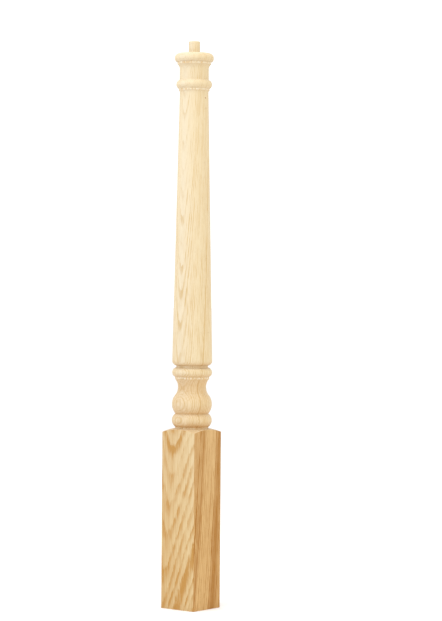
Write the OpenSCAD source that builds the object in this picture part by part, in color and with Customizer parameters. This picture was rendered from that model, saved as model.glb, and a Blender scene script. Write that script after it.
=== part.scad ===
// Turned newel post for a stair, cut and turned from one square blank of oak.
// A square block stands at the foot. Above its turned shoulder come a bead, a vase,
// a second bead, a long taper, a ring, a neck and a round cap with a pin on top.
// Sizes are in millimetres, Z points up, and the origin is the middle of the foot.

/* [Overall] */
// Height of the post, from the foot of the block to the tip of the pin
post_height = 1117.6; // [850:0.1:1500]
// Side of the square blank, which the block keeps
block_side = 82.55; // [66:0.05:120]
// Height of the block, up to the root of its turned shoulder
block_height = 355.6; // [150:0.1:450]
// What the lathe takes off each flat of the blank at the fattest turnings
turning_allowance = 1.85; // [0.5:0.05:4]

/* [Shoulder] */
// Drop of the turned shoulder, from its root to the corners of the block
shoulder_drop = 7.3; // [3:0.1:20]
// How domed the shoulder is, from 0 for a straight cone
shoulder_crown = 0.3; // [0:0.05:0.6]
// Height of the plain collar on the shoulder
collar_h = 2.8; // [1:0.1:10]
// Depth of the collar below the fattest turnings
collar_depth = 6.5; // [4:0.1:12]

/* [Vase] */
// Height of the bead under the vase
lower_bead_h = 26; // [18:0.1:36]
// Depth of the quirk between that bead and the vase
quirk_depth = 6.8; // [4:0.1:9]
// Height of the vase's round belly
belly_h = 35.6; // [26:0.1:50]
// Depth where the belly turns into the hollow above it
turn_depth = 5.5; // [3:0.1:8]
// Height of the hollow neck of the vase
hollow_h = 33; // [24:0.1:48]
// Depth of that hollow at its slimmest
hollow_depth = 11.75; // [9:0.05:16]
// Height of the fillet on the vase
vase_fillet_h = 3.8; // [1:0.1:8]
// Depth of the fillet on the vase
vase_fillet_depth = 5.7; // [3:0.1:8]
// Height of the bead over the vase
upper_bead_h = 18.6; // [16:0.1:28]

/* [Taper] */
// Height of the groove under the taper
groove_h = 3.8; // [1:0.1:8]
// Depth of the groove under the taper
groove_depth = 8.1; // [6:0.1:10]
// Height of the rounded foot of the taper
taper_foot_h = 9.4; // [7:0.1:16]
// How far that rounding stands proud of a straight chamfer
taper_foot_bulge = 2.35; // [0.5:0.05:3]
// Depth of the taper at its slim top end
taper_top_depth = 11.2; // [6:0.1:15]

/* [Ring and neck] */
// Height of the small hollow from the taper to the ring's fillet
taper_hollow_h = 2.9; // [1.5:0.1:6]
// How deep that small hollow is cut
taper_hollow = 0.5; // [0.1:0.05:1]
// Height of the fillet under the ring
ring_fillet_h = 3.4; // [1:0.1:8]
// Depth of the fillet under the ring
ring_fillet_depth = 9.1; // [7:0.1:10.5]
// Height of the ring
ring_h = 17.8; // [14:0.1:26]
// Depth of the ring at its fattest
ring_depth = 4.3; // [1:0.1:6]
// Height of the plain neck
neck_h = 22.6; // [10:0.1:40]
// Depth of the plain neck
neck_depth = 10.7; // [9:0.1:14]

/* [Cap] */
// Height of the small hollow on top of the neck
cap_hollow_h = 7.8; // [5:0.1:14]
// How deep that small hollow is cut
cap_hollow = 0.7; // [0.2:0.05:1.5]
// Depth of the top of the small hollow
cap_hollow_depth = 6.8; // [5.5:0.1:8.5]
// Height of the fillet under the cap
cap_fillet_h = 4.7; // [1:0.1:8]
// Depth of the fillet under the cap
cap_fillet_depth = 6.1; // [4.8:0.1:8]
// Depth of the cap at its fattest
cap_depth = 0.9; // [0.2:0.1:2]
// Radius of the cap's rounded edge
cap_round = 9.7; // [7:0.1:14]
// How far that rounding turns in under the cap, in degrees
cap_turn = 50; // [20:1:60]

/* [Pin] */
// Diameter of the pin that enters the handrail fitting
pin_dia = 22.225; // [12:0.005:36]
// Height of the pin over the cap
pin_h = 23.3; // [10:0.1:60]
// Chamfer on the tip of the pin
pin_chamfer = 1.2; // [0.4:0.1:3]

/* [Hidden] */

// Turn of one facet along a rounded part of the profile, in degrees
arc_step = 9;
// How far the lathe tool runs past the corners of the block
tool_overrun = 4;
// How far the square blank is drawn past both ends of the turned profile
blank_overrun = 5;
// Steps along the domed shoulder
shoulder_steps = 6;

// Radii: each is the radius of the fattest turnings less a depth of cut
fat_r = block_side / 2 - turning_allowance;
collar_r = fat_r - collar_depth;
quirk_r = fat_r - quirk_depth;
turn_r = fat_r - turn_depth;
hollow_r = fat_r - hollow_depth;
vase_fillet_r = fat_r - vase_fillet_depth;
groove_r = fat_r - groove_depth;
taper_top_r = fat_r - taper_top_depth;
ring_fillet_r = fat_r - ring_fillet_depth;
ring_r = fat_r - ring_depth;
neck_r = fat_r - neck_depth;
cap_hollow_r = fat_r - cap_hollow_depth;
cap_fillet_r = fat_r - cap_fillet_depth;
cap_r = fat_r - cap_depth;
pin_r = pin_dia / 2;
corner_r = block_side * sqrt(2) / 2;

// Heights stacked up from the shoulder of the block
collar_top = block_height + collar_h;
quirk_z = collar_top + lower_bead_h;
turn_z = quirk_z + belly_h;
hollow_top = turn_z + hollow_h;
vase_fillet_top = hollow_top + vase_fillet_h;
upper_bead_top = vase_fillet_top + upper_bead_h;
groove_top = upper_bead_top + groove_h;
taper_foot_top = groove_top + taper_foot_h;

// Heights stacked down from the tip of the pin, so that the taper takes up what is left
cap_top = post_height - pin_h;
cap_centre_z = cap_top - cap_round;
cap_under_z = cap_centre_z - cap_round * sin(cap_turn);
cap_fillet_z = cap_under_z - cap_fillet_h;
neck_top = cap_fillet_z - cap_hollow_h;
neck_z = neck_top - neck_h;
ring_z = neck_z - ring_h;
ring_fillet_z = ring_z - ring_fillet_h;
taper_top = ring_fillet_z - taper_hollow_h;

// Points of an arc from p to q, both left out. It stands proud of the straight line
// from p to q by bulge, or hollow of it where bulge is negative. p is below q.
function arc(p, q, bulge) =
    let (
        chord = norm(q - p),
        along = (q - p) / chord,
        outward = [along.y, -along.x] * sign(bulge),
        rise = abs(bulge),
        radius = (chord * chord / 4 + rise * rise) / (2 * rise),
        half_turn = 2 * atan(2 * rise / chord),
        steps = ceil(2 * half_turn / arc_step)
    )
    [for (i = [1 : steps - 1])
        let (a = half_turn * (2 * i / steps - 1))
        (p + q) / 2 + along * radius * sin(a) + outward * (radius * cos(a) - radius + rise)];

// A stretch of the profile from p up to q whose widest or slimmest radius is peak_r
function swell(p, q, peak_r) = concat([p], arc(p, q, peak_r - (p.x + q.x) / 2), [q]);

// A stretch of the profile from p up to q that is hollow by the given depth
function scoop(p, q, depth) = concat([p], arc(p, q, -depth), [q]);

// The domed shoulder, from past the corners of the block in to the collar. Its drop
// is shoulder_drop at the corners, and its slope grows from the root outwards.
function shoulder() =
    let (reach = (corner_r + tool_overrun - collar_r) / (corner_r - collar_r))
    [for (i = [shoulder_steps : -1 : 0])
        let (t = reach * i / shoulder_steps)
        [collar_r + (corner_r - collar_r) * t,
         block_height - shoulder_drop * ((1 - shoulder_crown) * t + shoulder_crown * t * t)]];

// The rounded edge of the cap, from the fillet under it up to its flat top
function cap_edge() =
    let (steps = ceil((90 + cap_turn) / arc_step))
    [for (i = [0 : steps])
        let (a = -cap_turn + (90 + cap_turn) * i / steps)
        [cap_r - cap_round + cap_round * cos(a), cap_centre_z + cap_round * sin(a)]];

// Half of the section that the lathe cuts, from the foot of the post up to the pin
function turned_profile() = concat(
    [[0, 0], [corner_r + tool_overrun, 0]],
    shoulder(),
    swell([collar_r, collar_top], [quirk_r, quirk_z], fat_r),
    swell([quirk_r, quirk_z], [turn_r, turn_z], fat_r),
    swell([turn_r, turn_z], [vase_fillet_r, hollow_top], hollow_r),
    swell([vase_fillet_r, vase_fillet_top], [groove_r, upper_bead_top], fat_r),
    concat([[groove_r, groove_top]],
           arc([groove_r, groove_top], [fat_r, taper_foot_top], taper_foot_bulge),
           [[fat_r, taper_foot_top]]),
    scoop([taper_top_r, taper_top], [ring_fillet_r, ring_fillet_z], taper_hollow),
    swell([ring_fillet_r, ring_z], [neck_r, neck_z], ring_r),
    scoop([neck_r, neck_top], [cap_hollow_r, cap_fillet_z], cap_hollow),
    [[cap_fillet_r, cap_fillet_z], [cap_fillet_r, cap_under_z]],
    cap_edge(),
    [[pin_r, cap_top], [pin_r, post_height - pin_chamfer],
     [pin_r - pin_chamfer, post_height], [0, post_height]]
);

// The blank's four flats leave the block square and cut the shoulder to its corners
module newel_post() {
    color("burlywood")
        intersection() {
            rotate_extrude($fn = 128)
                polygon(turned_profile());
            translate([-block_side / 2, -block_side / 2, -blank_overrun])
                cube([block_side, block_side, post_height + 2 * blank_overrun]);
        }
}

newel_post();
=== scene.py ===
# %% [markdown]
# # A turned newel post in raw red oak
# The real post starts as one square blank. A lathe cuts everything above the block, so the
# block, the turnings, the cap and the pin are one piece of wood. This script builds that
# piece as one smooth surface, gives it the grain of a plain-sawn oak blank, and lights it
# on a pale studio floor.

# %% Load the frame
import math
import bpy
import numpy as np
from mathutils import Matrix, Vector


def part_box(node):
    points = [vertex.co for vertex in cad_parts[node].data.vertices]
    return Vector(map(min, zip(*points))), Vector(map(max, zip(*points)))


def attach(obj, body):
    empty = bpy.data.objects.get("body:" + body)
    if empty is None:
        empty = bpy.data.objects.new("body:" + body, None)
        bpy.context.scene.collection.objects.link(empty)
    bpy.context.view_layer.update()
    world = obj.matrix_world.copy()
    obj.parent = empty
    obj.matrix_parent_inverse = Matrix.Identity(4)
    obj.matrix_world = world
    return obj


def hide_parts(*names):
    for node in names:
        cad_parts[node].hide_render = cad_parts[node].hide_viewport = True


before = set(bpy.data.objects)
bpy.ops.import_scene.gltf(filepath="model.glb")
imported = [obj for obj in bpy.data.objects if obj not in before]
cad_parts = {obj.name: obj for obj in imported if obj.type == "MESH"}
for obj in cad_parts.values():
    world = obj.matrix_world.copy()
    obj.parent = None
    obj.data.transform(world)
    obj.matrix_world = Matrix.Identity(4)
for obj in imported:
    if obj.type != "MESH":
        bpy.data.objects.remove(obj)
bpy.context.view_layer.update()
FOOT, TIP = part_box("newel_post")
print("post box", [round(float(v), 4) for v in (*FOOT, *TIP)])

# %% [markdown]
# ## Sizes
# A turner works from a storey rod: a list of heights along the post and a depth of cut at
# each. The same sizes drive this surface. The overall height and the width of the blank
# come from the frame, and the taper takes up the height that is left.

# %% Sizes of the turnings, in metres
MM = 0.001
POST_HEIGHT = float(TIP[2])
HALF_SIDE = float(TIP[0] - FOOT[0]) / 2
CORNER_RADIUS = HALF_SIDE * math.sqrt(2)
TURNING_ALLOWANCE = 1.85 * MM                   # what the lathe takes off the flats
FAT = HALF_SIDE - TURNING_ALLOWANCE             # radius of the fattest turnings

BLOCK_TOP = 355.6 * MM                          # root of the turned shoulder
SHOULDER_DROP, SHOULDER_CROWN = 7.3 * MM, 0.3   # fall to the corners, and how domed it is
PIN_RADIUS, PIN_HEIGHT, PIN_CHAMFER = 11.1125 * MM, 23.3 * MM, 1.2 * MM
CAP_ROUND, CAP_TURN = 9.7 * MM, math.radians(50)   # radius of the cap's edge, and its turn underneath
TAPER_FOOT_BULGE = 2.35 * MM                    # how far the foot of the taper is rounded
TAPER_HOLLOW, CAP_HOLLOW = 0.5 * MM, 0.7 * MM   # depths of the two small hollows

# Heights stacked up from the shoulder: name, height
LOWER = dict(collar=2.8, lower_bead=26, belly=35.6, hollow=33, vase_fillet=3.8,
             upper_bead=18.6, groove=3.8, taper_foot=9.4)
# Heights stacked down from the underside of the cap: name, height
UPPER = dict(cap_fillet=4.7, cap_hollow=7.8, neck=22.6, ring=17.8, ring_fillet=3.4,
             taper_hollow=2.9)
# Depths of cut below the fattest turnings
DEPTH = dict(collar=6.5, quirk=6.8, turn=5.5, hollow=11.75, vase_fillet=5.7, groove=8.1,
             taper_top=11.2, ring_fillet=9.1, ring=4.3, neck=10.7, cap_hollow=6.8,
             cap_fillet=6.1, cap=0.9)


def stack(start, heights, way):
    """Running heights: each level is the one before it plus or minus the next height."""
    levels = start + way * np.cumsum([h * MM for h in heights.values()])
    return dict(zip(heights, levels))


up = stack(BLOCK_TOP, LOWER, 1)
CAP_TOP = POST_HEIGHT - PIN_HEIGHT
CAP_CENTRE = CAP_TOP - CAP_ROUND
cap_under = CAP_CENTRE - CAP_ROUND * math.sin(CAP_TURN)
down = stack(cap_under, UPPER, -1)
# Narrow fillets, from and to: on the vase, under the ring and under the cap
FILLETS = ((up["hollow"], up["vase_fillet"]), (down["ring_fillet"], down["ring"]),
           (down["cap_fillet"], cap_under))
radius = {name: FAT - depth * MM for name, depth in DEPTH.items()}
print("taper runs from", round(up["taper_foot"], 4), "to", round(down["taper_hollow"], 4))

# %% [markdown]
# ## The turned outline
# Beads, hollows and the vase are arcs between two points of the storey rod. An arc can be
# given by its chord and by how far it stands proud of that chord, which is what a turner
# measures with a depth gauge. Lathe work also has no knife edges: sanding takes about a
# third of a millimetre off each one. A short blur along the outline does the same.


# %% Arcs and the outline
ARC_STEPS, CAP_POINTS = 24, 40       # steps along an arc, and points round the cap's edge


def arc(p, q, bulge):
    """Points on the circle through p and q whose middle stands bulge to the right of p to q.

    With half the chord c and rise b, the half angle is 2 atan(b / c) and the radius is
    (c squared + b squared) / 2b. Each point is the middle of the chord, plus sin(a) times
    the radius along it, plus (cos(a) times the radius, less radius, plus rise) outwards.
    """
    p, q = np.array(p, float), np.array(q, float)
    half = np.linalg.norm(q - p) / 2
    onward = (q - p) / (2 * half)
    outward = np.array([onward[1], -onward[0]]) * np.sign(bulge)
    rise = abs(bulge)
    big = (half ** 2 + rise ** 2) / (2 * rise)
    angle = np.linspace(-1, 1, ARC_STEPS + 1) * 2 * math.atan(rise / half)
    return ((p + q) / 2 + np.outer(np.sin(angle) * big, onward)
            + np.outer(np.cos(angle) * big - big + rise, outward))


def swell(p, q, peak):
    """An arc from p to q whose widest or slimmest radius is about peak."""
    return arc(p, q, peak - (p[0] + q[0]) / 2)


def turned_outline():
    """Radius and height of the lathe work, from the collar on the block up to the tip."""
    turn = np.linspace(-CAP_TURN, math.pi / 2, CAP_POINTS)
    cap = np.stack([radius["cap"] - CAP_ROUND + CAP_ROUND * np.cos(turn),
                    CAP_CENTRE + CAP_ROUND * np.sin(turn)], 1)
    collar = (radius["collar"], up["collar"])
    quirk = (radius["quirk"], up["lower_bead"])
    turning = (radius["turn"], up["belly"])
    return np.concatenate([
        [(radius["collar"], BLOCK_TOP)],
        swell(collar, quirk, FAT),
        swell(quirk, turning, FAT),
        swell(turning, (radius["vase_fillet"], up["hollow"]), radius["hollow"]),
        swell((radius["vase_fillet"], up["vase_fillet"]), (radius["groove"], up["upper_bead"]), FAT),
        arc((radius["groove"], up["groove"]), (FAT, up["taper_foot"]), TAPER_FOOT_BULGE),
        arc((radius["taper_top"], down["taper_hollow"]),
            (radius["ring_fillet"], down["ring_fillet"]), -TAPER_HOLLOW),
        swell((radius["ring_fillet"], down["ring"]), (radius["neck"], down["neck"]), radius["ring"]),
        arc((radius["neck"], down["cap_hollow"]),
            (radius["cap_hollow"], down["cap_fillet"]), -CAP_HOLLOW),
        [(radius["cap_fillet"], down["cap_fillet"]), (radius["cap_fillet"], cap_under)],
        cap,
        [(PIN_RADIUS, CAP_TOP), (PIN_RADIUS, POST_HEIGHT - PIN_CHAMFER),
         (PIN_RADIUS - PIN_CHAMFER, POST_HEIGHT), (0, POST_HEIGHT)]])


print("outline", len(turned_outline()), "points")

# %% [markdown]
# An outline drawn with arcs has many points where it is straight and hard corners where two
# cuts meet. It is walked again in even steps of a sixth of a millimetre, blurred to ease
# the corners as sanding does, and then thinned: rings of vertices are spent where the
# outline bends, and saved along the taper.


# %% Ease the outline and choose its rings
EASING = 0.3 * MM          # how far sandpaper rounds a turned edge
WALK = EASING / 2          # step along the outline while it is eased
RING_GAP = 9 * MM          # largest gap between two rings of vertices
RING_TURN = math.radians(7)  # largest bend between two rings of vertices


def along(points):
    """Running length of a polyline: the sum of its steps so far."""
    return np.concatenate([[0], np.cumsum(np.linalg.norm(np.diff(points, axis=0), axis=1))])


def eased(points):
    """The polyline at even steps, blurred by a bell curve whose width is EASING.

    Both ends are mirrored through themselves first, so that they stay where they are.
    """
    length = along(points)
    even = np.arange(0, length[-1], WALK)
    even = np.append(even, length[-1])
    walked = np.stack([np.interp(even, length, points[:, k]) for k in (0, 1)], 1)
    reach = 6               # steps each way, which is three widths of the bell
    bell = np.exp(-0.5 * (np.arange(-reach, reach + 1) * WALK / EASING) ** 2)
    padded = np.pad(walked, ((reach, reach), (0, 0)), mode="reflect", reflect_type="odd")
    return np.stack([np.convolve(padded[:, k], bell / bell.sum(), "valid") for k in (0, 1)], 1)


def thinned(points):
    """Fewer points: one for every RING_GAP of length and one for every RING_TURN of bend."""
    length = along(points)
    heading = np.unwrap(np.arctan2(*np.gradient(points, axis=0).T))
    want = length / RING_GAP + np.concatenate([[0], np.cumsum(np.abs(np.diff(heading)))]) / RING_TURN
    picks = np.interp(np.linspace(0, want[-1], int(want[-1]) + 1), want, length)
    return np.stack([np.interp(picks, length, points[:, k]) for k in (0, 1)], 1)


outline = thinned(eased(turned_outline()))
print("turned rings", len(outline), "radius", round(float(outline[:, 0].max()), 5))

# %% [markdown]
# ## One skin over block and turnings
# The block is square and the turnings are round, yet the post is one piece, so both share
# one grid of rings. Every ring has the same number of points. On the block they follow a
# square with faintly eased arrises, crowded towards the corners. On the lathe work they are
# spread evenly round a circle. On the domed shoulder each ring is partly one and partly
# the other, and its outer edge lies where the dome meets the flats, which gives the shallow
# scallop that a lathe leaves on a square blank.

# %% Section of the blank
FLAT_STEPS, ARRIS_STEPS = 36, 4
ARRIS = 0.55 * MM          # radius of the eased arrises of the block
SIDE_POINTS = FLAT_STEPS + ARRIS_STEPS


def blank_section():
    """Corner-rounded square, anticlockwise: one flat and one arris, turned by four right angles.

    Points on the flat are at the sine of an even angle, so they crowd towards the arrises.
    """
    flat_half = HALF_SIDE - ARRIS
    across = flat_half * np.sin(np.linspace(-1, 1, FLAT_STEPS + 1) * math.pi / 2)
    turn = np.linspace(0, math.pi / 2, ARRIS_STEPS + 1)[1:-1]
    side = np.concatenate([
        np.stack([np.full_like(across, HALF_SIDE), across], 1),
        flat_half + ARRIS * np.stack([np.cos(turn), np.sin(turn)], 1)])
    quarter = np.arange(4)[:, None] * math.pi / 2
    x = side[:, 0] * np.cos(quarter) - side[:, 1] * np.sin(quarter)
    y = side[:, 0] * np.sin(quarter) + side[:, 1] * np.cos(quarter)
    return np.stack([x.ravel(), y.ravel()], 1)


section = blank_section()
AROUND = len(section)
section_radius = np.linalg.norm(section, axis=1)
section_angle = np.unwrap(np.arctan2(section[:, 1], section[:, 0]))
even_angle = (np.arange(AROUND) + ARRIS_STEPS / 2) * 2 * math.pi / AROUND - math.pi / 4
print("points round the post", AROUND)

# %% [markdown]
# The shoulder is a shallow dome. Its height falls with the distance from the collar, a
# little faster towards the corners. Where a soft edge joins two surfaces, a short curve is
# laid between them whose control point is the sharp edge itself.


# %% Rings of the block and shoulder
EDGE = 0.4 * MM            # width of the eased edges of block and foot
FOOT_RINGS, SIDE_RINGS, SHOULDER_RINGS, EDGE_RINGS = 12, 44, 16, 4


def dome(r):
    """Height of the shoulder at radius r: root height less drop times (1 - c) u + c u squared,
    where u runs from 0 at the collar to 1 at the corners and c is the crown."""
    u = (r - radius["collar"]) / (CORNER_RADIUS - radius["collar"])
    return BLOCK_TOP - SHOULDER_DROP * ((1 - SHOULDER_CROWN) * u + SHOULDER_CROWN * u * u)


def polar(angle, r, height):
    """Rings of points at the given angle, radius and height, which may each vary."""
    angle, r, height = np.broadcast_arrays(angle, r, height)
    return np.stack([r * np.cos(angle), r * np.sin(angle), height], -1)


def soft_edge(start, corner, end):
    """Rings along the curve (1 - t) squared start + 2 t (1 - t) corner + t squared end."""
    t = np.linspace(0, 1, EDGE_RINGS + 1)[:, None, None]
    return (1 - t) ** 2 * start + 2 * t * (1 - t) * corner + t ** 2 * end


def between(start, end, steps):
    """Rings evenly spaced from start to end, both left out."""
    t = np.linspace(0, 1, steps + 1)[1:-1, None, None]
    return (1 - t) * start + t * end


edge_height = dome(section_radius)
foot_edge = polar(section_angle, section_radius, 0.0)
foot_in = polar(section_angle, section_radius - EDGE, 0.0)
foot_up = polar(section_angle, section_radius, EDGE)
side_top = polar(section_angle, section_radius, edge_height - EDGE)
side_edge = polar(section_angle, section_radius, edge_height)
dome_edge = polar(section_angle, section_radius - EDGE, dome(section_radius - EDGE))

inward = np.linspace(1, 0, SHOULDER_RINGS + 1)[1:-1, None]
dome_radius = radius["collar"] + (section_radius - EDGE - radius["collar"]) * inward
dome_angle = even_angle + (section_angle - even_angle) * inward
shoulder = polar(dome_angle, dome_radius, dome(dome_radius))
lathe = polar(even_angle, outline[:-1, :1], outline[:-1, 1:])

rings = np.concatenate([
    between(0 * foot_in, foot_in, FOOT_RINGS), soft_edge(foot_in, foot_edge, foot_up),
    between(foot_up, side_top, SIDE_RINGS), soft_edge(side_top, side_edge, dome_edge),
    shoulder, lathe])
lathe_starts = len(rings) - len(lathe) - len(shoulder) - 1
print("rings in all", len(rings), "of which turned", len(rings) - lathe_starts)

# %% [markdown]
# The grid becomes faces by joining each ring to the next. The middle of the foot and the
# middle of the pin's tip are single points, joined to their rings by fans, so that the skin
# is closed. Five numbers are stored on the vertices for the finish: how far the surface
# faces along the trunk, where the ends of the pores show; how far it faces sideways, where
# the rings are cut edge on; how sheltered it is, which sets the painted shade on what faces
# down or lies deep between two beads; whether it is on a narrow fillet; and whether it was
# turned.


# %% Build the mesh
def skin_faces(ring_count, around):
    """Quads between neighbouring rings, and a fan at each pole. The poles are the last two
    vertices. Seen from outside, the corners of every face run anticlockwise."""
    here = np.arange(around)
    after = (here + 1) % around
    low = (np.arange(ring_count - 1) * around)[:, None]
    quads = np.stack([low + here, low + after, low + around + after, low + around + here], -1)
    foot_pole, tip_pole = ring_count * around, ring_count * around + 1
    top = (ring_count - 1) * around
    fans = [np.stack([after, here, np.full(around, foot_pole)], -1),
            np.stack([top + here, top + after, np.full(around, tip_pole)], -1)]
    return quads.reshape(-1, 4), np.concatenate(fans)


def make_mesh(name, points, quads, triangles):
    """A smooth mesh object from arrays of points and faces."""
    mesh = bpy.data.meshes.new(name)
    mesh.from_pydata(points.tolist(), [], quads.tolist() + triangles.tolist())
    mesh.polygons.foreach_set("use_smooth", np.ones(len(mesh.polygons), bool))
    mesh.update()
    made = bpy.data.objects.new(name, mesh)
    bpy.context.scene.collection.objects.link(made)
    return made


# Shelter sets painted shade: how deep a point lies between fatter ones, and how far it faces down
SHELTER_SLOPE = 0.2        # how fast the shelter of a fatter place fades with distance
SHELTER_DEPTH = 20 * MM    # depth that is wholly sheltered
UNDERSIDE = 0.7            # how sheltered a surface is that faces straight down
FILLET_FADE = 0.3 * MM     # width over which a fillet's flecks fade out at its edges


def shelter(outline):
    """How deep each point of the outline lies between fatter ones, from 0 to about 1.

    The depth under another point of radius r' is r' less r, less SHELTER_SLOPE times the
    difference in height. Of the deepest under a point below and the deepest under one above
    the lesser counts, as a share of SHELTER_DEPTH.
    """
    r, height = outline.T
    rise = height - height[:, None]
    depth = r - r[:, None] - SHELTER_SLOPE * np.abs(rise)
    below = np.where(rise <= 0, depth, 0).max(axis=1)
    above = np.where(rise >= 0, depth, 0).max(axis=1)
    return np.minimum(below, above) / SHELTER_DEPTH


def store(mesh, name, values):
    """Puts one number on each vertex, for the finish to read."""
    mesh.attributes.new(name, "FLOAT", "POINT").data.foreach_set("value", values.astype(np.float32))


poles = np.array([(0, 0, 0), (0, 0, POST_HEIGHT)])
quads, triangles = skin_faces(len(rings), AROUND)
post = make_mesh("turned_post", np.concatenate([rings.reshape(-1, 3), poles]), quads, triangles)

normals = np.empty(len(post.data.vertices) * 3)
post.data.vertex_normals.foreach_get("vector", normals)
normals = normals.reshape(-1, 3)
store(post.data, "end_grain", np.abs(normals[:, 2]))
store(post.data, "edge_grain", np.abs(normals[:, 0]))
sheltered = np.zeros((len(rings), AROUND))
block_rim = (HALF_SIDE, BLOCK_TOP - SHOULDER_DROP)
sheltered[-len(lathe):] = shelter(np.vstack([block_rim, outline]))[1:-1, None]
# Painted shade in the quirks, the hollows and on every underside, stored as sheltered
store(post.data, "sheltered", np.append(sheltered, (0, 0)) + np.maximum(-normals[:, 2], 0) * UNDERSIDE)
height = rings[:, :, 2].ravel()
on_fillet = [np.minimum(height - low, high - height) for low, high in FILLETS]
on_fillet = np.clip(np.max(on_fillet, axis=0) / FILLET_FADE, 0, 1)
store(post.data, "fillet", np.append(on_fillet, (0, 0)))
was_turned = np.repeat(np.arange(len(rings)) >= lathe_starts, AROUND)
store(post.data, "turned", np.append(was_turned, (False, True)))
print("post", len(post.data.vertices), "vertices", 2 * len(quads) + len(triangles), "triangles")

# %% [markdown]
# ## Shader sums
# The finish is worked out by sums on the position inside the wood. One small class wraps an
# output of a node, so that such a sum is written as a sum. Everything is in millimetres,
# because that is how growth rings and pores are measured.


# %% Wires that can be added and multiplied
class Wire:
    """One output of a shader node. A sum of wires and numbers adds Math nodes."""

    def __init__(self, tree, socket):
        self.tree, self.socket = tree, socket

    def node(self, kind, settings, sockets, output=0):
        """Adds a node: first its settings, then a value or a wire for each of its sockets."""
        made = self.tree.nodes.new(kind)
        for name, value in settings.items():
            if name == "stops":
                ramp = made.color_ramp
                for place, colour in value[len(ramp.elements):]:
                    ramp.elements.new(place)
                for stop, (place, colour) in zip(ramp.elements, value):
                    stop.position, stop.color = place, (*colour, 1)
            else:
                setattr(made, name, value)
        for name, value in sockets.items():
            if isinstance(value, Wire):
                self.tree.links.new(value.socket, made.inputs[name])
            else:
                made.inputs[name].default_value = value
        return Wire(self.tree, made.outputs[output])

    def math(self, operation, *others):
        """This wire, and any others, through one operation of the Math node."""
        return self.node("ShaderNodeMath", {"operation": operation}, dict(enumerate((self, *others))))

    def __add__(self, other):
        return self.math("ADD", other)

    def __sub__(self, other):
        return self.math("SUBTRACT", other)

    def __rsub__(self, other):
        return self * -1 + other

    def __mul__(self, other):
        return self.math("MULTIPLY", other)

    def __truediv__(self, other):
        return self.math("DIVIDE", other)

    __radd__, __rmul__ = __add__, __mul__

    def split(self):
        """The three parts of a vector."""
        made = self.node("ShaderNodeSeparateXYZ", {}, {0: self})
        sockets = made.socket.node.outputs
        return [Wire(self.tree, sockets[k]) for k in range(3)]

    def noise(self, size, seed, detail=2.0, output=0):
        """Smooth noise from 0 to 1. Its lumps have the given size along the three axes, and the
        seed moves it to a place of its own."""
        scaled = self.node("ShaderNodeMapping", {"vector_type": "POINT"},
                           {"Vector": self, "Location": (seed, 1.7 * seed, 2.3 * seed),
                            "Scale": tuple(1 / s for s in size)})
        return scaled.node("ShaderNodeTexNoise", {"noise_dimensions": "3D"},
                           {"Vector": scaled, "Scale": 1.0, "Detail": detail}, output)

    def rise(self, low, high):
        """0 below low, 1 above high, and a smooth climb between them."""
        return self.node("ShaderNodeMapRange", {"interpolation_type": "SMOOTHSTEP"},
                         {"Value": self, "From Min": low, "From Max": high})

    def ramp(self, *stops):
        """A colour, or a grey from a number, for each value from 0 to 1."""
        rows = [(place, (c, c, c) if isinstance(c, (int, float)) else c) for place, c in stops]
        return self.node("ShaderNodeValToRGB", {"stops": rows}, {0: self})

    def blend(self, start, end, how="MIX"):
        """The colour start where this wire is 0. Where it is 1, end, or start times end for
        MULTIPLY."""
        sockets = {0: self, 6: start if isinstance(start, Wire) else (*start, 1),
                   7: end if isinstance(end, Wire) else (*end, 1)}
        return self.node("ShaderNodeMix", {"data_type": "RGBA", "blend_type": how}, sockets, 2)


# %% [markdown]
# ## Where the tree's rings run
# A blank is sawn from a trunk, and the trunk's pith passes outside this one, in front of the
# block's front flat. It leans, so each ring meets that flat in a V that points down, the
# cathedral figure of plain-sawn oak, while the flats at right angles to it show the same
# rings as nearly straight lines. Few trunks are round: here the rings come to a blunt ridge
# that faces the pith, which keeps the arms of each V straight. The ridge fades up the trunk,
# so the arches are wider on the taper than on the block. Worked out in space, one set of
# rings gives every face, bead and end its own true figure, with no seam anywhere.

# %% Irregularities of the wood: size of their lumps along three axes in millimetres, seed, detail
NOISE = dict(wander=((60, 60, 170), 3.1, 2.0), drift=((16, 1, 1), 6.0, 2.0),
             ragged=((2.2, 2.2, 30), 8.0, 3.0), frayed=((1.1, 1.1, 11), 9.0, 2.0),
             patches=((12, 12, 40), 11.0, 2.0), rays=((0.45, 16, 9), 17.0, 1.0),
             cloud=((30, 30, 150), 29.0, 3.0), fibre=((2.4, 2.4, 50), 31.0, 2.0),
             thread=((1.2, 1.2, 28), 41.0, 2.0), dash=((1.5, 1.5, 15), 37.0, 1.0),
             fleck_noise=((2.6, 2.6, 8), 47.0, 1.0))
PORE_SIZE = (0.7, 0.7, 13.0)         # width, depth and length of the cell that holds one pore

# %% Ridge and growth rings, in millimetres
RIDGE_X = (-44.0, 48.0, 260.0)       # side shift at the foot, its gain with height, and how fast
RIDGE_SHAPE = (0.31, 10.0)           # slope of the two flanks, and how blunt the ridge is
RIDGE_FADE = 0.00085                 # share of that slope lost for each millimetre of height
LEAN = (0.051, 0.000030)             # how fast the rings lean towards the front, and their sweep
LEAN_FADE = 0.0085                   # share of the lean lost for each millimetre further back
WANDER = (14.0, 2.0)                 # how far the rings wander sideways and outwards
RING_WIDTH, CROWDING = 4.5, 0.0045   # width of a year's growth, and how it narrows towards the pith
DRIFT = 13.0                         # how far runs of wide and narrow years shift the rings
FIRST_YEAR = 200                     # keeps the number of every year above nought


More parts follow.
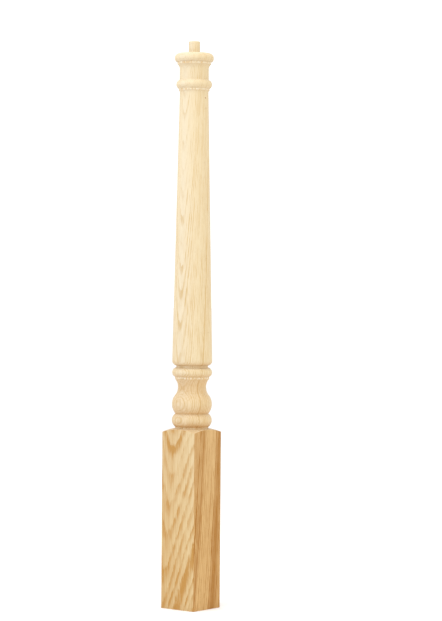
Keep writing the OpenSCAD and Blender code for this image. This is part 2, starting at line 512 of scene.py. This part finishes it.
def growth(place, x, y, z):
    """Place beside the ridge, and depth in the trunk's growth, both in millimetres.

    The ridge is at x = a + b (1 - exp(-z / c)), and side is the distance from it. The depth
    is the distance back from the front flat, less the lean, plus the flank. The lean is
    (e z + f z squared) times (1 - LEAN_FADE back). The flank is k (1 - RIDGE_FADE z) times
    the root of side squared plus w squared. Both results follow a slow wander.
    """
    wander = place.noise(*NOISE["wander"], "Color").split()
    a, b, c = RIDGE_X
    e, f = LEAN
    k, w = RIDGE_SHAPE
    ridge = (1 - (z / -c).math("EXPONENT")) * b + a
    side = x - ridge + (wander[0] - 0.5) * WANDER[0]
    flank = (side * side + w * w).math("SQRT") * k * (1 - z * RIDGE_FADE)
    back = y + HALF_SIDE / MM
    lean = (z * z * f + z * e) * (1 - back * LEAN_FADE)
    return side, back - lean + flank + (wander[1] - 0.5) * WANDER[1]


# %% [markdown]
# ## Raw red oak
# Red oak is ring-porous. Each year starts with a band of large open pores, which reads as a
# coarse brown streak, and ends with a band of dense, paler fibre. Rays run out from the
# pith: on the front they are short dark dashes, on the side faint flecks. The streak is
# broken up, because every pore is a groove that runs up the trunk, not along the ring. Runs
# of good and bad years show as broad darker and paler bands, plainest on the flats at right
# angles to the front.

# %% Colours of the wood, as linear red, green and blue: between rings, in a ring's streak
TURNED_FRONT = ((0.645, 0.555, 0.400), (0.530, 0.385, 0.200))
TURNED_EDGE = ((0.660, 0.533, 0.325), (0.555, 0.380, 0.168))
FLAT_FRONT = ((0.600, 0.472, 0.277), (0.420, 0.222, 0.056))
FLAT_EDGE = ((0.590, 0.383, 0.165), (0.337, 0.143, 0.016))
PORE_BROWN, KNOT_BROWN = (0.30, 0.13, 0.035), (0.30, 0.12, 0.03)
# Painted highlight of light caught on the narrow fillets, and the orange flecks between
FILLET_HIGHLIGHT, FILLET_ORANGE = (0.78, 0.71, 0.58), (0.60, 0.34, 0.10)
# Warm tint of the painted shade; the foot's tint, partly the wood's own colour and partly painted shade
PAINTED_SHADE_TINT, FOOT_TONE_AND_SHADE = (0.80, 0.52, 0.24), (1.0, 0.975, 0.9)

# Richer and leaner years: depth in the trunk's growth from the front flat, and darkness
YEARS = ((-70, 0.45), (-50, 0.25), (-36, 0.35), (-29, 0.62), (-20, 0.57), (-16, 0.42), (23.5, 0.55),
         (25.5, 1.0), (27.5, 1.0), (29, 0.5), (31, 0.3), (34, 0.1), (69, 0.15), (74, 0.75),
         (87, 0.95), (90, 0.5), (102, 0.4))


def year_tone(depth):
    """How dark each year's growth is: a ramp over the depth."""
    first, last = YEARS[0][0], YEARS[-1][0]
    stops = [((year - first) / (last - first), darkness) for year, darkness in YEARS]
    return ((depth - first) / (last - first)).ramp(*stops)


# %% Streaks, pores and rays
EARLY_WOOD = ((0.0, 0.0), (0.08, 1.0), (0.38, 0.75), (0.62, 0.12), (1.0, 0.0))   # through one year
RAGGED, RAGGED_LESS = 0.9, 0.45   # years that the edge of a streak strays, and how much less when turned
TONE_STRAY = 4                    # millimetres that the edge of a darker year strays
FINER = 0.5                       # how much faster lathe work runs through a year's early wood
VIGOUR, PATCHY = (0.3, 0.95), (0.28, 0.75)   # least strength of a streak, and what chance adds


def year_streaks(place, depth, turned):
    """Early wood from 0 to 1, the streak that it makes, and the tone of the years there.

    The year is (depth - CROWDING n squared + drift) / RING_WIDTH plus a ragged edge, where n
    is the depth if that is below nought. Its whole part is the year's number, and its
    fraction runs through EARLY_WOOD, faster on lathe work, which cuts the streaks finer.
    """
    drift = place.node("ShaderNodeCombineXYZ", {}, {0: depth}).noise(*NOISE["drift"]) - 0.5
    ragged = place.noise(*NOISE["ragged"]) * 0.65 + place.noise(*NOISE["frayed"]) * 0.35 - 0.5
    nearer = depth.math("MINIMUM", 0)
    year = ((depth - nearer * nearer * CROWDING + drift * DRIFT) / RING_WIDTH
            + ragged * (RAGGED - turned * RAGGED_LESS) + FIRST_YEAR)
    vigour = place.node("ShaderNodeTexWhiteNoise", {"noise_dimensions": "1D"}, {"W": year.math("FLOOR")})
    early = (year.math("FRACT") * (turned * FINER + 1)).ramp(*EARLY_WOOD)
    patches = place.noise(*NOISE["patches"]).rise(0.3, 0.62)
    streak = early * (vigour * VIGOUR[1] + VIGOUR[0]) * (patches * PATCHY[1] + PATCHY[0])
    return early, streak, year_tone(depth + ragged * TONE_STRAY)


def open_pores(place, early):
    """Long thin spots, one in each cell of PORE_SIZE, and mostly in the early wood."""
    cells = place.node("ShaderNodeMapping", {}, {"Vector": place, "Scale": tuple(1 / s for s in PORE_SIZE)})
    spots = place.node("ShaderNodeTexVoronoi", {"feature": "F1"}, {"Vector": cells, "Scale": 1.0})
    return (1 - spots.rise(0.16, 0.34)) * (early * 0.8 + 0.2)


def rays(place, side, depth, z):
    """Thin plates that stand at right angles to the rings."""
    spokes = place.node("ShaderNodeCombineXYZ", {}, {0: side, 1: depth, 2: z})
    return spokes.noise(*NOISE["rays"]).rise(0.66, 0.74)


# %% [markdown]
# The flats of the block are planed, and look warmer than the finely sanded turnings. Sides
# that cut the rings edge on look deeper in colour. The quirks, the undersides of the beads
# and the hollow of the vase are darkened and warmed by painted shade, the soft shade that
# gathers there, and the ends of the grain are darker, partly in their own colour and partly
# by painted shade. It is kept in the colour of the wood, so it stays when the lights move.
# The narrow fillets show a row of painted highlights, pale flecks where light catches them,
# between orange flecks. The wood is darker low down, partly in its own colour and partly by
# painted shade, the left of the front flat is darker by painted shade, and the pin is painted
# paler, as a painted highlight. A pin knot sits near the top of the taper.

# %% Where each look of the wood and its painted shade fades out, as shares of the height of the post
LOW, FOOT_END, VASE, BELLY = (-0.1, 0.85), (0.08, 0.34), (0.43, 0.48), (0.40, 0.415)
# The pin is painted paler, as a painted highlight
PIN = (0.9795, 0.981)                # where the paler look of the pin fades in
KNOT, KNOT_EDGE = (28.4, 0.4, 1005.5), (0.6, 2.0)    # its middle and its radii, in millimetres

# How strongly each mark darkens the flats, and how much more or less on lathe work
BARE, STREAK, TONE, FIBRE, THREAD = (-0.35, 0.16), (0.75, 0.11), (0.75, -0.55), (0.62, 0.3), (0.7, 1.1)
CLOUD, DASH, PORE, RAY = 0.3, 0.3, 0.25, 0.15
SHADE_RANGE = (-0.15, 1.15)          # shades that are wholly pale and wholly dark
END_GRAIN_AND_SHADE, SHELTER_SHADE, VASE_SHADE = 0.08, 0.68, 0.17      # how much each darkens: end grain partly its own colour, the rest painted shade
HIGHLIGHT_FLECK, ORANGE_FLECK = 0.5, 0.45                      # how strongly the painted highlight and the orange flecks show


def oak(name):
    """Raw red oak, sanded where it was turned, with painted shade and highlights in its colour."""
    material = bpy.data.materials.new(name)
    material.use_nodes = True
    tree = material.node_tree
    shader = tree.nodes["Principled BSDF"]
    start = Wire(tree, None)
    coordinates = start.node("ShaderNodeTexCoord", {}, {}, "Object")
    place = start.node("ShaderNodeVectorMath", {"operation": "SCALE"}, {0: coordinates, "Scale": 1 / MM})
    end_grain, edge_grain, sheltered, fillet, turned = (
        start.node("ShaderNodeAttribute", {"attribute_name": mark}, {}, "Fac")
        for mark in ("end_grain", "edge_grain", "sheltered", "fillet", "turned"))
    flat, across = 1 - turned, 1 - edge_grain

    x, y, z = place.split()
    side, depth = growth(place, x, y, z)
    early, streak, tone = year_streaks(place, depth, turned)
    pore, ray = open_pores(place, early), rays(place, side, depth, z)
    cloud, fibre, thread = (place.noise(*NOISE[mark]) - 0.5 for mark in ("cloud", "fibre", "thread"))
    dash = place.noise(*NOISE["dash"]).rise(0.56, 0.7)
    height = z / (POST_HEIGHT / MM)
    low, foot, vase, belly = (1 - height.rise(*fade) for fade in (LOW, FOOT_END, VASE, BELLY))

    def weight(mark):
        """The weight of a mark on the flats, changed where the wood was turned."""
        return turned * mark[1] + mark[0]

    # One term for each mark of the wood and for the painted shade and highlight: its own weight, then where
    # it shows more or less
    shade = (weight(BARE)
             + streak * (weight(STREAK) + turned * (edge_grain * 0.3 - vase * 0.28)
                         + end_grain * 0.3 - flat * edge_grain * 0.2)
             + tone * (weight(TONE) + turned * low * 0.3)
             + fibre * (weight(FIBRE) + turned * vase * 0.3)
             + thread * weight(THREAD) + cloud * CLOUD + dash * (streak + 0.2) * DASH
             # Darker low down, more on the front and back of the turnings: partly the wood's own colour,
             # partly painted shade
             + low * (turned * across * 0.4 + 0.36)
             # Painted shade darkens the front flat towards its left; the pin is painted paler, a painted
             # highlight
             + flat * (edge_grain * 0.07 - across * x * 0.0045) - height.rise(*PIN) * 0.25)
    pale, dark = (turned.blend(edge_grain.blend(FLAT_FRONT[k], FLAT_EDGE[k]),
                               edge_grain.blend(TURNED_FRONT[k], TURNED_EDGE[k])) for k in (0, 1))
    colour = shade.rise(*SHADE_RANGE).blend(pale, dark)
    colour = (pore * PORE).blend(colour, PORE_BROWN)
    colour = (ray * RAY).blend(colour, PORE_BROWN)

    # Painted shade: quirks, undersides and the lower turnings darkened and warmed, more so low down; the
    # end grain partly its own darker colour
    end_grain_and_painted_shade = (end_grain * END_GRAIN_AND_SHADE + sheltered * SHELTER_SHADE + belly * turned * VASE_SHADE)
    colour = (end_grain_and_painted_shade * (low * 1.1 + 0.4)).blend(colour, PAINTED_SHADE_TINT, "MULTIPLY")
    # Pale flecks are painted highlights where light catches the fillets; orange flecks lie between them
    fleck_noise = place.noise(*NOISE["fleck_noise"])
    colour = (fillet * fleck_noise.rise(0.48, 0.6) * HIGHLIGHT_FLECK).blend(colour, FILLET_HIGHLIGHT)
    colour = (fillet * (1 - fleck_noise.rise(0.38, 0.48)) * ORANGE_FLECK).blend(colour, FILLET_ORANGE)
    # Warmer towards the foot of the block: partly the wood's own colour, partly painted shade
    colour = foot.blend(colour, FOOT_TONE_AND_SHADE, "MULTIPLY")
    knot = place.node("ShaderNodeVectorMath", {"operation": "DISTANCE"}, {0: place, 1: KNOT}, "Value")
    colour = (1 - knot.rise(*KNOT_EDGE)).blend(colour, KNOT_BROWN)
    tree.links.new(colour.socket, shader.inputs["Base Color"])

    # Early wood and open pores are rougher, and the pores are the deepest marks
    roughness = streak * 0.12 + pore * 0.1 + flat * 0.05 + 0.5
    tree.links.new(roughness.socket, shader.inputs["Roughness"])
    relief = fibre * 0.5 + ray * 0.1 - pore - streak * 0.3
    bump = place.node("ShaderNodeBump", {}, {"Height": relief, "Strength": 0.25, "Distance": 0.2 * MM})
    tree.links.new(bump.socket, shader.inputs["Normal"])
    shader.inputs["Specular IOR Level"].default_value = 0.3
    print(name, len(tree.nodes), "nodes")
    return material


post.data.materials.append(oak("raw_oak"))
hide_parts("newel_post")
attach(post, "root")

# %% [markdown]
# ## Studio
# A pale floor with no edge in sight and a white surround stand in for a sweep of white
# paper. Two broad soft lights, one in front on the left and one overhead, do most of the
# work, and a weaker one on the right keeps that side open.


# %% Floor and surround
FLOOR_RADIUS, FLOOR_POINTS = 40.0, 96
FLOOR_WHITE, SURROUND = 0.9, 1.15    # shade of the floor, and strength of the light all round


def studio_floor():
    """A flat disc: the points of an even angle at FLOOR_RADIUS, joined to its middle."""
    turn = np.linspace(0, 2 * math.pi, FLOOR_POINTS, endpoint=False)
    rim = polar(turn, FLOOR_RADIUS, 0.0)
    here = np.arange(len(rim))
    fan = np.stack([here, np.roll(here, -1), np.full(len(rim), len(rim))], -1)
    return make_mesh("studio_floor", np.vstack([rim, (0, 0, 0)]), np.empty((0, 4), int), fan)


def matt(name, shade, roughness):
    """A plain grey paint."""
    material = bpy.data.materials.new(name)
    material.use_nodes = True
    paint = material.node_tree.nodes["Principled BSDF"]
    paint.inputs["Base Color"].default_value = (shade, shade, shade, 1)
    paint.inputs["Roughness"].default_value = roughness
    return material


floor = studio_floor()
floor.data.materials.append(matt("pale_floor", FLOOR_WHITE, 0.9))

scene = bpy.context.scene
scene.world = bpy.data.worlds.new("studio_surround")
scene.world.use_nodes = True
surround = scene.world.node_tree.nodes["Background"]
surround.inputs["Color"].default_value = (1, 1, 1, 1)
surround.inputs["Strength"].default_value = SURROUND
scene.view_settings.view_transform = "Standard"

# %% [markdown]
# The camera stands level with the lower part of the taper. It is turned a little off the
# post, so that the post sits left of the middle, and it is rolled by less than half a
# degree. The lights are placed to the camera's own right or left and on its side of the post.

# %% Camera
CAMERA_TURN = math.radians(39.5)     # round the post from the block's front flat
CAMERA_DISTANCE, EYE_HEIGHT = 4.389, 0.657
AIM_ASIDE, AIM_HEIGHT = 0.0561, 0.5881
CAMERA_ROLL = math.radians(0.424)
LENS, SENSOR = 128.93, 36.0

towards = Vector((math.sin(CAMERA_TURN), -math.cos(CAMERA_TURN), 0))
rightwards = Vector((math.cos(CAMERA_TURN), math.sin(CAMERA_TURN), 0))


def look(name, data, spot, target, roll=0.0):
    """Adds a camera or light at spot that looks at target."""
    made = bpy.data.objects.new(name, data)
    turn = (target - spot).to_track_quat("-Z", "Y").to_matrix().to_4x4()
    made.matrix_world = Matrix.Translation(spot) @ turn @ Matrix.Rotation(roll, 4, "Z")
    scene.collection.objects.link(made)
    return made


lens = bpy.data.cameras.new("studio_camera")
lens.lens, lens.sensor_width = LENS, SENSOR
eye = towards * CAMERA_DISTANCE + Vector((0, 0, EYE_HEIGHT))
aim = rightwards * AIM_ASIDE + Vector((0, 0, AIM_HEIGHT))
scene.camera = look("studio_camera", lens, eye, aim, CAMERA_ROLL)

# %% Lights
LIGHT_AIM = POST_HEIGHT * 0.6        # height on the post that every light is turned to
# Name, metres right of the post, in front of it and up, width, height, watts
LIGHTS = (("key_light", -2.2, 1.6, 2.2, 1.8, 2.2, 24.0),
          ("fill_light", 2.4, 1.4, 1.6, 1.6, 2.0, 12.0),
          ("top_light", -0.4, 0.6, 3.0, 1.5, 1.5, 20.0))
for name, aside, forward, up_high, wide, tall, watts in LIGHTS:
    lamp = bpy.data.lights.new(name, "AREA")
    lamp.shape, lamp.size, lamp.size_y, lamp.energy = "RECTANGLE", wide, tall, watts
    spot = rightwards * aside + towards * forward + Vector((0, 0, up_high))
    look(name, lamp, spot, Vector((0, 0, LIGHT_AIM)))
print("lights", [row[0] for row in LIGHTS])
